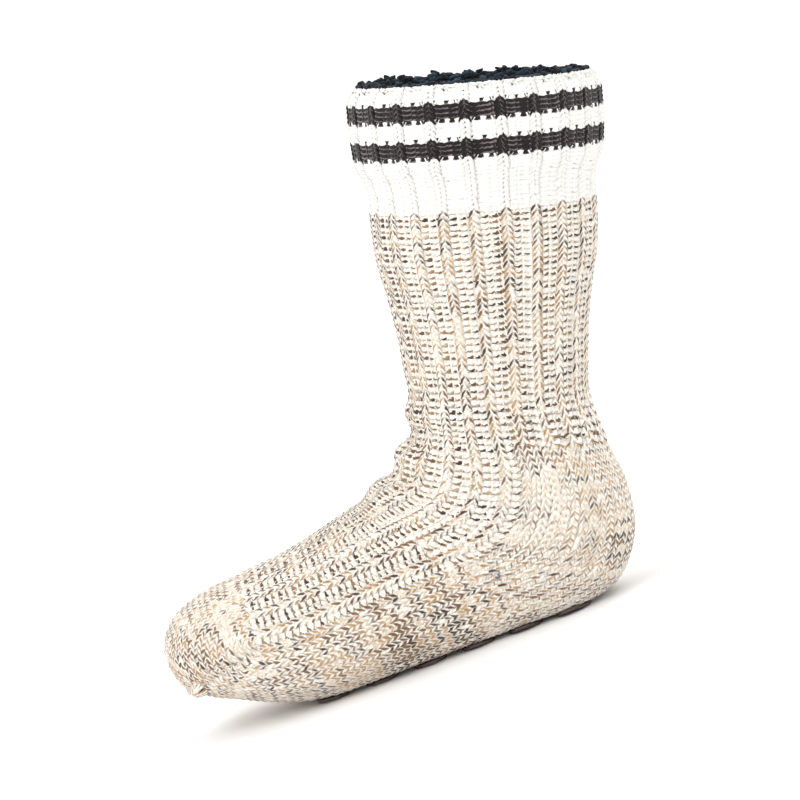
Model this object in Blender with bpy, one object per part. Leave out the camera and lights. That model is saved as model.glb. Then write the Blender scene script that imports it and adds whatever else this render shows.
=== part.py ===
"""Knitted house sock with a fleece lining and grip pads under its sole.

Metres, +Z up, toe towards -X and heel towards +X. The sock stands on its sole. Its origin is the
bottom centre of its box. The side outline is drawn with the back of the heel at x = 0, and the
finished pieces are then moved along X so that the origin is in the middle.
"""
import math
from collections import namedtuple

import bpy
import numpy as np

# Driving sizes of the sock, in metres and radians
FOOT_LENGTH = 0.260
INSTEP_HEIGHT = 0.100
BALL_WIDTH = 0.102
LEG_LEAN = math.radians(15.0)
ANKLE_ALONG = 0.053
ANKLE_UP = 0.100

# Walls and gaps
KNIT_WALL = 0.0030
LINING_WALL = 0.0060
SEAT_GAP = 0.0003
COLLAR_LIP = 0.0010
TIP_CROWN = 0.0005
LINING_RISE = 0.0040
LINING_LIP = 0.0016

# Grip pads, printed across the sole from the heel to the ball
PAD_COUNT = 6
PAD_FIRST_ALONG = 0.048
PAD_PITCH = 0.027
PAD_LENGTH = 0.018
PAD_HALF_WIDTH = 0.027
PAD_END_SHARE = 0.40
PAD_THICK = 0.0015
PAD_STEPS_ALONG = 4
PAD_STEPS_ACROSS = 12

# Flat of the sole, and how softly the round of the foot runs into it
SOLE_UP = PAD_THICK + SEAT_GAP
SOLE_SOFTNESS = 0.0020

# Facets, and the steps used to find slopes and places on the skin
POINTS_ROUND = 28
RING_STEP = 0.0170
SLOPE_STEP = 1e-4
SEARCH_STEPS = 2000
SOLE_SIDE = math.radians(100.0)

# The leg is a plain ellipse in section, widest in the middle
LEG_WIDEST = 0.5
LEG_SQUARE = 2.0

# Leg sections: height above the ankle along the leg, depth front to back, width side to side
LegSection = namedtuple("LegSection", "up depth width")
LEG_SECTIONS = (
    LegSection(0.1830, 0.1255, 0.1175),  # collar edge
    LegSection(0.1785, 0.1310, 0.1230),  # rounded edge of the cuff
    LegSection(0.1680, 0.1330, 0.1250),  # first stripe
    LegSection(0.1500, 0.1310, 0.1230),  # second stripe
    LegSection(0.1420, 0.1290, 0.1210),  # end of the doubled cuff
    LegSection(0.1355, 0.1220, 0.1140),  # step in under the doubled cuff
    LegSection(0.1290, 0.1190, 0.1110),  # single cuff
    LegSection(0.1130, 0.1180, 0.1100),  # top of the marl leg
    LegSection(0.0940, 0.1155, 0.1065),
    LegSection(0.0750, 0.1075, 0.0990),
    LegSection(0.0550, 0.1005, 0.0925),
    LegSection(0.0350, 0.0965, 0.0885),
    LegSection(0.0150, 0.0955, 0.0870),  # narrowest, above the ankle
)

# Foot sections. Each runs from a point on the instep or toe top (front) to one on the heel or sole
# (back). Along is a share of the foot's length from the heel, up a share of the instep's height and
# width a share of the ball's width. Widest is where the widest line lies, from back to front.
FootSection = namedtuple(
    "FootSection", "front_along front_up back_along back_up width widest square"
)
FOOT_SECTIONS = (
    FootSection(0.383, 1.162, 0.011, 0.790, 0.845, 0.50, 2.15),  # under the ankle
    FootSection(0.403, 1.089, 0.000, 0.520, 0.840, 0.49, 2.30),  # back of the heel
    FootSection(0.426, 1.036, 0.017, 0.270, 0.832, 0.48, 2.40),
    FootSection(0.450, 0.994, 0.077, 0.060, 0.828, 0.47, 2.45),  # round of the heel
    FootSection(0.474, 0.961, 0.165, -0.025, 0.830, 0.46, 2.45),  # heel seat
    FootSection(0.498, 0.931, 0.265, -0.030, 0.842, 0.45, 2.40),
    FootSection(0.525, 0.901, 0.369, -0.030, 0.865, 0.44, 2.35),  # waist
    FootSection(0.569, 0.861, 0.477, -0.030, 0.903, 0.43, 2.30),
    FootSection(0.631, 0.815, 0.581, -0.030, 0.951, 0.42, 2.30),
    FootSection(0.700, 0.777, 0.685, -0.025, 0.995, 0.42, 2.30),  # ball
    FootSection(0.769, 0.756, 0.769, 0.020, 0.990, 0.42, 2.25),
    FootSection(0.831, 0.745, 0.837, 0.085, 0.937, 0.44, 2.25),  # toe box
    FootSection(0.881, 0.730, 0.888, 0.145, 0.853, 0.46, 2.25),
    FootSection(0.923, 0.702, 0.929, 0.190, 0.735, 0.48, 2.20),
    FootSection(0.958, 0.657, 0.962, 0.245, 0.578, 0.50, 2.15),
    FootSection(0.985, 0.586, 0.987, 0.310, 0.373, 0.50, 2.10),
    FootSection(0.998, 0.510, 0.998, 0.390, 0.150, 0.50, 2.00),  # rim of the tip
)

# Finish of each material: colour, roughness
KNIT_FINISH = ((0.46, 0.34, 0.24), 0.95)
FLEECE_FINISH = ((0.02, 0.03, 0.045), 1.0)
GRIP_FINISH = ((0.05, 0.04, 0.035), 0.6)


def outline_rows():
    """Every section as front x, front z, back x, back z, half width, widest, square."""
    rows = []
    for leg in LEG_SECTIONS:
        centre_x = -ANKLE_ALONG + leg.up * math.sin(LEG_LEAN)
        centre_z = ANKLE_UP + leg.up * math.cos(LEG_LEAN)
        reach_x = leg.depth / 2 * math.cos(LEG_LEAN)
        reach_z = leg.depth / 2 * math.sin(LEG_LEAN)
        front = (centre_x - reach_x, centre_z + reach_z)
        back = (centre_x + reach_x, centre_z - reach_z)
        rows.append((*front, *back, leg.width / 2, LEG_WIDEST, LEG_SQUARE))
    for foot in FOOT_SECTIONS:
        front = (-foot.front_along * FOOT_LENGTH, foot.front_up * INSTEP_HEIGHT)
        back = (-foot.back_along * FOOT_LENGTH, foot.back_up * INSTEP_HEIGHT)
        rows.append((*front, *back, foot.width * BALL_WIDTH / 2, foot.widest, foot.square))
    return np.array(rows)


ROWS = outline_rows()


def station_knots():
    """Distance down the sock of each section: the mean of the steps on its front and back lines."""
    front_steps = np.linalg.norm(np.diff(ROWS[:, 0:2], axis=0), axis=1)
    back_steps = np.linalg.norm(np.diff(ROWS[:, 2:4], axis=0), axis=1)
    return np.concatenate([[0.0], np.cumsum((front_steps + back_steps) / 2)]), back_steps


KNOTS, BACK_STEPS = station_knots()


def row_slopes():
    """Slope of every column at every section, from the parabola through it and its neighbours."""
    step = np.diff(KNOTS)[:, None]
    secant = np.diff(ROWS, axis=0) / step
    slope = np.empty_like(ROWS)
    slope[0], slope[-1] = secant[0], secant[-1]
    slope[1:-1] = (secant[:-1] * step[1:] + secant[1:] * step[:-1]) / (step[:-1] + step[1:])
    return slope


SLOPES = row_slopes()


def section_at(station):
    """The seven section values at stations down the sock, as one smooth run through the rows."""
    station = np.clip(station, KNOTS[0], KNOTS[-1])
    span = np.clip(np.searchsorted(KNOTS, station, side="right") - 1, 0, len(KNOTS) - 2)
    length = (KNOTS[span + 1] - KNOTS[span])[..., None]
    share = (station - KNOTS[span])[..., None] / length
    start = ROWS[span] * (1 + 2 * share) + SLOPES[span] * length * share
    end = ROWS[span + 1] * (3 - 2 * share) - SLOPES[span + 1] * length * (1 - share)
    return start * (1 - share) ** 2 + end * share**2


def flattened(height):
    """Heights with the round underside pressed softly into the flat of the sole."""
    above = np.clip(height - SOLE_UP + SOLE_SOFTNESS, 0.0, None)
    blend = above**2 / (4 * SOLE_SOFTNESS)
    return SOLE_UP + np.where(above < 2 * SOLE_SOFTNESS, blend, above - SOLE_SOFTNESS)


def skin(station, angle):
    """Points on the outside of the knit. Angle 0 is the front or top, and pi the back or sole."""
    section = section_at(np.asarray(station, dtype=float))
    front, back = section[..., 0:2], section[..., 2:4]
    half_width, widest, square = section[..., 4], section[..., 5], section[..., 6]
    cosine, sine = np.cos(angle), np.sin(angle)
    fullness = (np.abs(cosine) ** square + np.abs(sine) ** square) ** (-1 / square)
    reach = np.where(cosine > 0, 1 - widest, widest) * cosine * fullness
    middle = back + (front - back) * widest[..., None]
    in_side_view = middle + (front - back) * reach[..., None]
    across = half_width * sine * fullness
    return np.stack([in_side_view[..., 0], across, flattened(in_side_view[..., 1])], axis=-1)


def offset_skin(station, angle, outward):
    """Points at a distance outward from the knit's outside, along its normal."""
    station, angle = np.broadcast_arrays(np.asarray(station, dtype=float), angle)
    low = np.clip(station - SLOPE_STEP, KNOTS[0], KNOTS[-1])
    high = np.clip(station + SLOPE_STEP, KNOTS[0], KNOTS[-1])
    down = skin(high, angle) - skin(low, angle)
    turn = skin(station, angle + SLOPE_STEP) - skin(station, angle - SLOPE_STEP)
    normal = np.cross(turn, down)
    normal /= np.linalg.norm(normal, axis=-1, keepdims=True)
    return skin(station, angle) + normal * outward


def ring_stations():
    """Stations of the facet rings: every section, with more between sections that lie far apart."""
    stations = []
    for start, end, back_step in zip(KNOTS[:-1], KNOTS[1:], BACK_STEPS):
        steps = max(1, math.ceil(back_step / RING_STEP))
        stations.extend(np.linspace(start, end, steps, endpoint=False))
    return np.array(stations + [KNOTS[-1]])


STATIONS = ring_stations()
ANGLES = np.linspace(0.0, 2 * math.pi, POINTS_ROUND, endpoint=False)
LEG_AXIS = np.array([math.sin(LEG_LEAN), 0.0, math.cos(LEG_LEAN)])


def wall_rings(outward):
    """Rings of one face of a wall, from the collar to the toe."""
    return list(offset_skin(STATIONS[:, None], ANGLES[None, :], outward))


def sock_solid(name, outer, inner, lip, rise, finish):
    """A hollow sock between two offsets of the skin, closed at the toe and open at the collar."""
    outer_rings, inner_rings = wall_rings(outer), wall_rings(inner)
    if rise:
        outer_rings.insert(0, outer_rings[0] + LEG_AXIS * rise)
        inner_rings.insert(0, inner_rings[0] + LEG_AXIS * rise)
    lip_ring = (outer_rings[0] + inner_rings[0]) / 2 + LEG_AXIS * lip
    rings = inner_rings[::-1] + [lip_ring] + outer_rings
    points = np.concatenate(rings)
    first = np.arange(POINTS_ROUND)
    after = np.roll(first, -1)
    faces = []
    for ring in range(len(rings) - 1):
        start, end = ring * POINTS_ROUND, (ring + 1) * POINTS_ROUND
        corners = [first + start, after + start, after + end, first + end]
        # Both faces of a wall are cut along the same diagonals, so that nested walls stay apart.
        cuts = ((0, 1, 3), (1, 2, 3)) if ring < len(inner_rings) else ((0, 1, 2), (0, 2, 3))
        for cut in cuts:
            faces.extend(np.stack([corners[corner] for corner in cut], 1).tolist())
    inner_tip, outer_tip = len(points), len(points) + 1
    last = (len(rings) - 1) * POINTS_ROUND
    faces.extend([int(b), int(a), inner_tip] for a, b in zip(first, after))
    faces.extend([int(a) + last, int(b) + last, outer_tip] for a, b in zip(first, after))
    tips = [ring.mean(axis=0) - (TIP_CROWN, 0.0, 0.0) for ring in (inner_rings[-1], outer_rings[-1])]
    return solid(name, np.concatenate([points, tips]), faces, finish)


def sole_station(along):
    """Station whose point on the sole lies at this distance from the back of the heel."""
    sole = np.linspace(KNOTS[len(LEG_SECTIONS)], KNOTS[-1], SEARCH_STEPS)
    return np.interp(along, -section_at(sole)[:, 2], sole)


def sole_angle(station, across):
    """Angle of the point on the underside at this distance across the sole."""
    angles = np.linspace(SOLE_SIDE, math.pi, SEARCH_STEPS)
    return np.interp(-across, -skin(station, angles)[:, 1], angles)


def grip_pad(name, along, finish):
    """A pad with round ends that follows the sole, flat underneath where the sole is flat."""
    rows = []
    for across in np.linspace(-PAD_HALF_WIDTH, PAD_HALF_WIDTH, PAD_STEPS_ACROSS + 1):
        past_straight = max(0.0, abs(across) - (PAD_HALF_WIDTH - PAD_LENGTH / 2))
        round_share = math.sqrt(1 - (past_straight / (PAD_LENGTH / 2)) ** 2)
        half_length = PAD_LENGTH / 2 * max(round_share, PAD_END_SHARE)
        stations = sole_station(along + np.linspace(-half_length, half_length, PAD_STEPS_ALONG + 1))
        turns = [sole_angle(station, abs(across)) for station in stations]
        angles = np.array([math.pi + math.copysign(math.pi - turn, -across) for turn in turns])
        rows.append((stations, angles))
    stations = np.array([row[0] for row in rows])
    angles = np.array([row[1] for row in rows])
    top = offset_skin(stations, angles, SEAT_GAP)
    bottom = offset_skin(stations, angles, SEAT_GAP + PAD_THICK)
    return grid_slab(name, top, bottom, finish)


def grid_slab(name, top, bottom, finish):
    """A closed solid between two grids of points, top and bottom."""
    across, along = top.shape[:2]
    index = np.arange(across * along).reshape(across, along)
    quads = np.stack([index[:-1, :-1], index[:-1, 1:], index[1:, 1:], index[1:, :-1]], -1).reshape(-1, 4)
    faces = quads[:, ::-1].tolist() + (quads + index.size).tolist()
    edge = np.concatenate([index[0, :-1], index[:-1, -1], index[-1, :0:-1], index[:0:-1, 0]])
    for start, end in zip(edge, np.roll(edge, -1)):
        faces.append([int(start), int(end), int(end) + index.size, int(start) + index.size])
    points = np.concatenate([top.reshape(-1, 3), bottom.reshape(-1, 3)])
    return solid(name, points, faces, finish)


def material(name, finish):
    """A Principled material with this colour and roughness."""
    found = bpy.data.materials.get(name) or bpy.data.materials.new(name)
    found.use_nodes = True
    shader = found.node_tree.nodes["Principled BSDF"]
    colour, roughness = finish
    shader.inputs["Base Color"].default_value = (*colour, 1.0)
    shader.inputs["Roughness"].default_value = roughness
    shader.inputs["Metallic"].default_value = 0.0
    return found


def solid(name, points, faces, finish):
    """A named object of its own, with its material."""
    mesh = bpy.data.meshes.new(name)
    mesh.from_pydata([tuple(point) for point in points], [], faces)
    mesh.shade_smooth()
    mesh.materials.append(material(name.rstrip("_0123456789"), finish))
    piece = bpy.data.objects.new(name, mesh)
    bpy.context.scene.collection.objects.link(piece)
    return piece


def centre_along_x(pieces):
    """Moves the pieces' meshes along X so that the middle of their box is at x = 0."""
    reach = [vertex.co.x for piece in pieces for vertex in piece.data.vertices]
    shift = -(min(reach) + max(reach)) / 2
    for piece in pieces:
        for vertex in piece.data.vertices:
            vertex.co.x += shift


def build():
    for old in list(bpy.data.objects):
        bpy.data.objects.remove(old, do_unlink=True)
    lining_outer = -(KNIT_WALL + SEAT_GAP)
    lining_inner = lining_outer - LINING_WALL
    pieces = [
        sock_solid("knit_upper", 0.0, -KNIT_WALL, COLLAR_LIP, 0.0, KNIT_FINISH),
        sock_solid("fleece_lining", lining_outer, lining_inner, LINING_LIP, LINING_RISE, FLEECE_FINISH),
    ]
    for number in range(PAD_COUNT):
        along = PAD_FIRST_ALONG + number * PAD_PITCH
        pieces.append(grip_pad(f"grip_pad_{number + 1}", along, GRIP_FINISH))
    centre_along_x(pieces)


build()
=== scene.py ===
import math
from collections import namedtuple

import bpy
import numpy as np
from mathutils import Matrix, Vector
from mathutils.bvhtree import BVHTree


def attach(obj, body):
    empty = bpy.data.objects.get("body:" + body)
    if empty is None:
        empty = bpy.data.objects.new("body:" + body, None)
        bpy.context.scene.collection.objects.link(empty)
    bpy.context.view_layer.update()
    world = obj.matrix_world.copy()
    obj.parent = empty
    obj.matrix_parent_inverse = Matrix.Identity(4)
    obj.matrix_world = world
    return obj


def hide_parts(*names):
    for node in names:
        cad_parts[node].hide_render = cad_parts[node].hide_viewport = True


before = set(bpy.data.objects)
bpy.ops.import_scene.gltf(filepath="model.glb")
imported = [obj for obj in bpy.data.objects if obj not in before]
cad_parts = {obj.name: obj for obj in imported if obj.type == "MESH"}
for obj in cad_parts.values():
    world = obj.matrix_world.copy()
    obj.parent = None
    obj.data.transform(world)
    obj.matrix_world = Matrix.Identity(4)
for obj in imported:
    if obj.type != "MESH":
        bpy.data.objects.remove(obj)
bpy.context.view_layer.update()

# Outline of the sock, in metres, the same as the solids have
FOOT_LENGTH = 0.260
INSTEP_HEIGHT = 0.100
BALL_WIDTH = 0.102
LEG_LEAN = math.radians(15.0)
LEG_AXIS = np.array([math.sin(LEG_LEAN), 0.0, math.cos(LEG_LEAN)])
ANKLE_ALONG = 0.053
ANKLE_UP = 0.100
SOLE_UP = 0.0018
SOLE_SOFTNESS = 0.0020
ALONG_SHIFT = 0.10167
LEG_WIDEST = 0.5
LEG_SQUARE = 2.0

# A whole turn, the step for slopes, and the least length to divide by
FULL_TURN = 2 * math.pi
SLOPE_STEP = 1e-4
TINY = 1e-12

# Leg sections from the collar down: height up the leg, depth, width
LEG_SECTIONS = (
    (0.1830, 0.1255, 0.1175),
    (0.1785, 0.1310, 0.1230),
    (0.1680, 0.1330, 0.1250),
    (0.1500, 0.1310, 0.1230),
    (0.1420, 0.1290, 0.1210),
    (0.1355, 0.1220, 0.1140),
    (0.1290, 0.1190, 0.1110),
    (0.1130, 0.1180, 0.1100),
    (0.0940, 0.1155, 0.1065),
    (0.0750, 0.1075, 0.0990),
    (0.0550, 0.1005, 0.0925),
    (0.0350, 0.0965, 0.0885),
    (0.0150, 0.0955, 0.0870),
)

# Foot sections from ankle to toe, in shares: front along and up, back along and up, width, widest, squareness
FOOT_SECTIONS = (
    (0.383, 1.162, 0.011, 0.790, 0.845, 0.50, 2.15),
    (0.403, 1.089, 0.000, 0.520, 0.840, 0.49, 2.30),
    (0.426, 1.036, 0.017, 0.270, 0.832, 0.48, 2.40),
    (0.450, 0.994, 0.077, 0.060, 0.828, 0.47, 2.45),
    (0.474, 0.961, 0.165, -0.025, 0.830, 0.46, 2.45),
    (0.498, 0.931, 0.265, -0.030, 0.842, 0.45, 2.40),
    (0.525, 0.901, 0.369, -0.030, 0.865, 0.44, 2.35),
    (0.569, 0.861, 0.477, -0.030, 0.903, 0.43, 2.30),
    (0.631, 0.815, 0.581, -0.030, 0.951, 0.42, 2.30),
    (0.700, 0.777, 0.685, -0.025, 0.995, 0.42, 2.30),
    (0.769, 0.756, 0.769, 0.020, 0.990, 0.42, 2.25),
    (0.831, 0.745, 0.837, 0.085, 0.937, 0.44, 2.25),
    (0.881, 0.730, 0.888, 0.145, 0.853, 0.46, 2.25),
    (0.923, 0.702, 0.929, 0.190, 0.735, 0.48, 2.20),
    (0.958, 0.657, 0.962, 0.245, 0.578, 0.50, 2.15),
    (0.985, 0.586, 0.987, 0.310, 0.373, 0.50, 2.10),
    (0.998, 0.510, 0.998, 0.390, 0.150, 0.50, 2.00),
)
FIRST_FOOT = len(LEG_SECTIONS)
HEEL_SECTIONS = 9

# Knitting: wales round the sock, courses down it
WALES = 66
QUARTER_TURN = WALES / 4
HALF_TURN = WALES / 2
RIB_UNIT = 3
FRONT_WALES = 16
FOLD_WALES = 8
EVEN_WALES = 12
FINE = 4
LAST_CELL = 1.001
SPARE_COURSES = 2
CUFF_COURSE = 0.00238
CUFF_END = 27.5
STRIPE_COURSES = (4, 5, 6, 7, 12, 13, 14, 15)
LIP_COURSES = 3
LIP_SPARE = 0.75
LIP_TURNS = 1.4
LIP_RADIUS = 0.0021
LEG_COURSES = 37
LEG_PITCH_TOP = 0.00292
LEG_PITCH_LOW = 0.00385
FAN_COURSES = 18
FAN_FIRST_PITCH = 0.00370
HEEL_COURSES = 36
HEEL_PITCH = 0.00360
FOOT_COURSES = 7
TOE_FROM_TIP = 0.052
TOE_PITCH = 0.0037
TOE_ROOM = 0.8
FOOT_FRONT_SHARE = 0.455

# How finely the skin is measured for the knitting
TABLE_ROWS = 420
TABLE_ANGLES = 241
FAN_ROWS = 300
TOE_RINGS = 160
TOE_AROUND = 128
TOE_SWEEPS = 91
TOE_FANS = 70

# Bends of one loop: share of a wale across, share of a course along, share of the depth outward
KNIT_LOOP = (
    (0.00, -0.62, -1.00),
    (0.34, -0.76, -0.50),
    (0.43, -0.48, 0.45),
    (0.28, 0.12, 1.00),
    (0.12, 0.68, 0.35),
    (0.50, 0.92, -1.00),
    (0.88, 0.68, 0.35),
    (0.72, 0.12, 1.00),
    (0.57, -0.48, 0.45),
    (0.66, -0.76, -0.50),
)
PURL_LOOP = (
    (0.00, -0.50, 1.00),
    (0.20, -0.45, 0.75),
    (0.31, -0.20, -0.60),
    (0.31, 0.16, -0.60),
    (0.13, 0.40, 0.70),
    (0.50, 0.52, 1.00),
    (0.87, 0.40, 0.70),
    (0.69, 0.16, -0.60),
    (0.69, -0.20, -0.60),
    (0.80, -0.45, 0.75),
)
FREE_SHARE = (0.0, 0.5, 1.0, 1.0, 1.0, 1.0, 1.0, 1.0, 1.0, 0.5)
LOOP_SAMPLES = len(KNIT_LOOP)
LEFT_LEG = (2, 3, 4)
RIGHT_LEG = (8, 7, 6)
SINKER, HEAD = 0, 5
YARN_SIDES = 4
YARN_FLAT = 0.58
CORNER = math.sqrt(2.0)
Yarn = namedtuple("Yarn", "width fill")
MARL_YARN = Yarn(0.00114, 0.49)
CREAM_YARN = Yarn(0.00114, 0.54)
STRIPE_YARN = Yarn(0.00090, 0.48)
KNIT_FILL = 0.40
RIB_SPREAD = 1.2
PLAIN_SPREAD = 1.1
LOOP_SLIP = 0.04
LOOP_DEPTH = 0.00085
YARN_MIDDLE = -0.0018
RIB_RISE = 0.0008
LOOP_LENGTH = 0.0150
PLY_PERIOD = 0.0052
END_SINK = 0.0012
GORE_OVERLAP = 0.2
CELL_MARGIN = 0.06

# How far round the yarn the marl strand shows, and where its middle lies: 0 beside the yarn, 0.25 on top
PURL_COVER = (0.00, 0.15, 0.35, 0.35, 0.20, 0.00, 0.20, 0.35, 0.35, 0.15)
STRIPE_KNIT_COVER = (0.80, 0.80, 0.74, 0.74, 0.74, 0.80, 0.74, 0.74, 0.74, 0.80)
STRIPE_PURL_COVER = (0.28, 0.28, 0.40, 0.40, 0.28, 0.28, 0.28, 0.40, 0.40, 0.28)
LEG_SWELL = (0.58, 1.00, 0.62)
PLAIN_TURN = (0.25, 0.33, 0.33, 0.25, 0.17, 0.25, 0.17, 0.25, 0.33, 0.33)
RIB_TURN = (0.16, 0.24, 0.24, 0.16, 0.08, 0.16, 0.08, 0.16, 0.24, 0.24)
RIB_STROKE = 1.25
SINKER_SHARE = 0.35
SINKER_COVER = 0.32
# Purl loops take the marl strand darker: its own colour with painted shade of the gaps between purl loops
PURL_PAINTED_SHADE = 0.75
Strokes = namedtuple("Strokes", "share low high dash")
LEG_STROKES = Strokes(0.96, 0.090, 0.130, 1.00)
HEEL_STROKES = Strokes(0.96, 0.084, 0.128, 0.96)
FOOT_STROKES = Strokes(0.96, 0.088, 0.142, 0.94)

# Toe seam, its corners, and the fluff on the side of the foot
SEAM_TURN = math.radians(112.0)
SEAM_PITCH = 0.0026
SEAM_SAMPLES = 9
SEAM_RADIUS = 0.00100
SEAM_AHEAD = 0.001
SEAM_SINK = 0.0012
SEAM_SWAY = 0.12
SEAM_REACH = 0.0024
SEAM_RISE = 0.0024
SEAM_SLANT = 0.0008
SEAM_COVER = (0.45, 0.90)
NUB_ACROSS = 0.025
NUB_STRANDS = 6
NUB_REACH = 0.0042
NUB_RISE = 0.0058
NUB_SWAY = 0.0004
LINT_STATION = 0.262
LINT_ANGLE = math.radians(262.0)
LINT_CURL = 4.5
LINT_SIZE = 0.0011
LINT_LIFT = (0.0004, 0.0010)
LINT_RADIUS = 0.0006

# Walls behind the loops
BACKING_OUTER = -0.0026
BACKING_INNER = -0.0033
BACKING_RISE = 0.0008
FLEECE_OUTER = -0.0036
FLEECE_INNER = -0.0083
FLEECE_RISE = 0.0030
FLEECE_ROUGH = 0.0006
WALL_STATIONS = 74
WALL_ANGLES = 72

# Curls of the fleece
RIM_CURLS = 560
INSIDE_CURLS = 560
RIM_INSET = 0.001
TUFT_COUNT = 44
TUFT_SPREAD = 0.06
TUFT_RISE = 0.0036
TUFT_SHARE = (0.2, 1.0)
TUFT_POWER = 1.5
CURL_SAMPLES = 8
CURL_SIDES = 6
CURL_PITCH = 0.001
CURL_DEEPEST = 0.095
DEPTH_POWER = 1.3
CURL_SIZE = (0.0009, 0.0017)
CURL_TURNS = (0.9, 1.4)
CURL_SINK = 0.0012
CURL_RISE = (0.0012, 0.0030)
CURL_RADIUS = (0.0010, 0.0016)
CURL_TAPER = ((0.0, 0.6, 1.0), (1.0, 0.95, 0.6))
CURL_SHADES = (0.8, 1.25)
CURL_LIGHT = 1.2
CURL_COVER = 0.5

# Creases at the front of the ankle: place along the front line from the bend, half width, height, reach round
Crease = namedtuple("Crease", "along half_width height reach")
CREASES = (
    Crease(-0.0300, 0.0065, -0.0012, 1.15),
    Crease(-0.0195, 0.0060, 0.0018, 1.25),
    Crease(-0.0085, 0.0060, -0.0024, 1.35),
    Crease(0.0025, 0.0060, 0.0030, 1.45),
    Crease(0.0140, 0.0060, -0.0024, 1.30),
    Crease(0.0255, 0.0065, 0.0016, 1.15),
    Crease(0.0375, 0.0070, -0.0010, 1.00),
)
CREASE_FULL = 0.15

# Colours as seen on screen, 0 to 255
CREAM = (249, 244, 235)
CUFF_CREAM = (248, 247, 242)
CUFF_SHADE = (245, 244, 238)
CHARCOAL = (27, 21, 24)
CHARCOAL_SHADE = (124, 112, 110)
LINT_BLUE = (92, 118, 150)
BACKING_MARL = (226, 210, 188)
BACKING_CUFF = (248, 246, 240)
RUBBER = (58, 46, 42)
RUBBER_WORN = (92, 76, 70)
NAVY = ((16, 21, 31), (22, 32, 43), (30, 45, 56), (12, 15, 22), (42, 62, 73))
# The second is painted shade, the colour in the low gaps between the fleece's clumps
CLUMP_TOP, CLUMP_PAINTED_SHADE = NAVY[2], NAVY[3]
MARL_TONES = ((226, 208, 182), (184, 150, 110), (130, 100, 72), (84, 66, 52))

# How far the brightness of the yarn strays
PALE_STRAY = (0.95, 1.02)
SHADE_STRAY = (0.92, 1.02)
STRIPE_STRAY = (0.9, 1.1)
TONE_STRAY = (0.88, 1.10)

# Odds of each tone of the marl strand
PALE_ODDS = (0.30, 0.40, 0.22, 0.08)
DARK_ODDS = (0.06, 0.26, 0.40, 0.28)
PLAIN_ODDS = (0.14, 0.42, 0.32, 0.12)
BAND_ODDS = (0.00, 0.06, 0.46, 0.48)
TAN_ODDS = (0.20, 0.62, 0.15, 0.03)
CREAM_ODDS = (0.74, 0.18, 0.06, 0.02)
Strand = namedtuple("Strand", "odds low high share")
PALE_STRAND = Strand(PALE_ODDS, 0.24, 0.38, 0.88)
DARK_STRAND = Strand(DARK_ODDS, 0.40, 0.54, 1.00)
FIRST_STRAND = Strand(BAND_ODDS, 0.48, 0.56, 1.00)
RUN_STITCHES = (1, 5)
STRAY_SHARE = 0.25

# Patches where the strand runs darker, tanner or paler, in bolder or finer strokes
Patch = namedtuple("Patch", "centre size odds bold")
PATCHES = (
    Patch((-0.0363, -0.046, 0.012), (0.011, 0.030, 0.022), BAND_ODDS, 1.35),
    Patch((-0.0080, -0.044, 0.008), (0.008, 0.030, 0.020), BAND_ODDS, 1.35),
    Patch((0.0947, -0.020, 0.026), (0.014, 0.030, 0.012), BAND_ODDS, 1.35),
    Patch((-0.1500, 0.0, 0.034), (0.020, 0.055, 0.018), TAN_ODDS, 1.35),
    Patch((-0.1120, -0.036, 0.050), (0.018, 0.022, 0.014), CREAM_ODDS, 0.85),
    Patch((0.0680, -0.050, 0.173), (0.035, 0.030, 0.007), BAND_ODDS, 1.35),
    Patch((0.0560, -0.044, 0.055), (0.022, 0.022, 0.020), CREAM_ODDS, 0.85),
)

# Shading of the yarn: how the strand wanders and shows, the fibres, and the painted shade in the groove
# between plies
WANDER_SCALE = 0.9
WANDER_SWAY = 2.0
COVER_REACH = 2.4
STROKE_EDGE = (1.02, 1.28)
FIBRES_ALONG = 3.0
FIBRES_ROUND = 9.0
FIBRE_RANGE = (0.25, 0.75)
FIBRE_SHADES = (0.80, 1.12)
FIBRE_HEIGHT = 0.9
GROOVE_POWER = 0.4
# Tint of the painted shade in the groove between plies
GROOVE_SHADE_TINT = (0.34, 0.24, 0.16, 1.0)
WHITE = (1.0, 1.0, 1.0, 1.0)

# Shading of the backing, the fleece and the rubber, and the count of rubber pads
CUFF_BLEND = (-0.002, 0.001)
FELT_SHADE = 0.6
# How fast the painted shade between the fleece's clumps darkens
CLUMP_SHADE_CONTRAST = 1.3
NAP_HEIGHT = 0.5
RUB_ROUGHNESS = (0.25, 0.5)
PAD_COUNT = 6

# View and light
TARGET = (0.004, 0.0, 0.133)
VIEW_DISTANCE = 2.0
VIEW_ELEVATION = math.radians(7.0)
VIEW_ROLL = math.radians(20.0)
VIEW_WIDTH = 0.418
SENSOR = 36.0
FLOOR_SIZE = 6.0
FLOOR_SHADE = (0.93, 0.93, 0.93, 1.0)
SKY_STRENGTH = 1.2
Lamp = namedtuple("Lamp", "name place size power")
LAMPS = (
    Lamp("key_light", (-0.7, -1.0, 1.3), 0.9, 7.0),
    Lamp("rim_light", (0.9, 0.9, 1.2), 0.8, 4.0),
)

rng = np.random.default_rng(20261126)


def linear(colour):
    """Screen colour, 0 to 255, as a linear colour, by the sRGB curve."""
    share = np.asarray(colour, dtype=float) / 255
    return np.where(share <= 0.04045, share / 12.92, ((share + 0.055) / 1.055) ** 2.4)


def paint(colour):
    """Screen colour as the value of a colour socket."""
    return (*linear(colour), 1.0)


def smooth_step(value, low, high):
    share = np.clip((value - low) / (high - low), 0.0, 1.0)
    return share * share * (3 - 2 * share)


def unit(vectors):
    """Vectors at a length of one."""
    return vectors / np.maximum(np.linalg.norm(vectors, axis=-1, keepdims=True), TINY)


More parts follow.
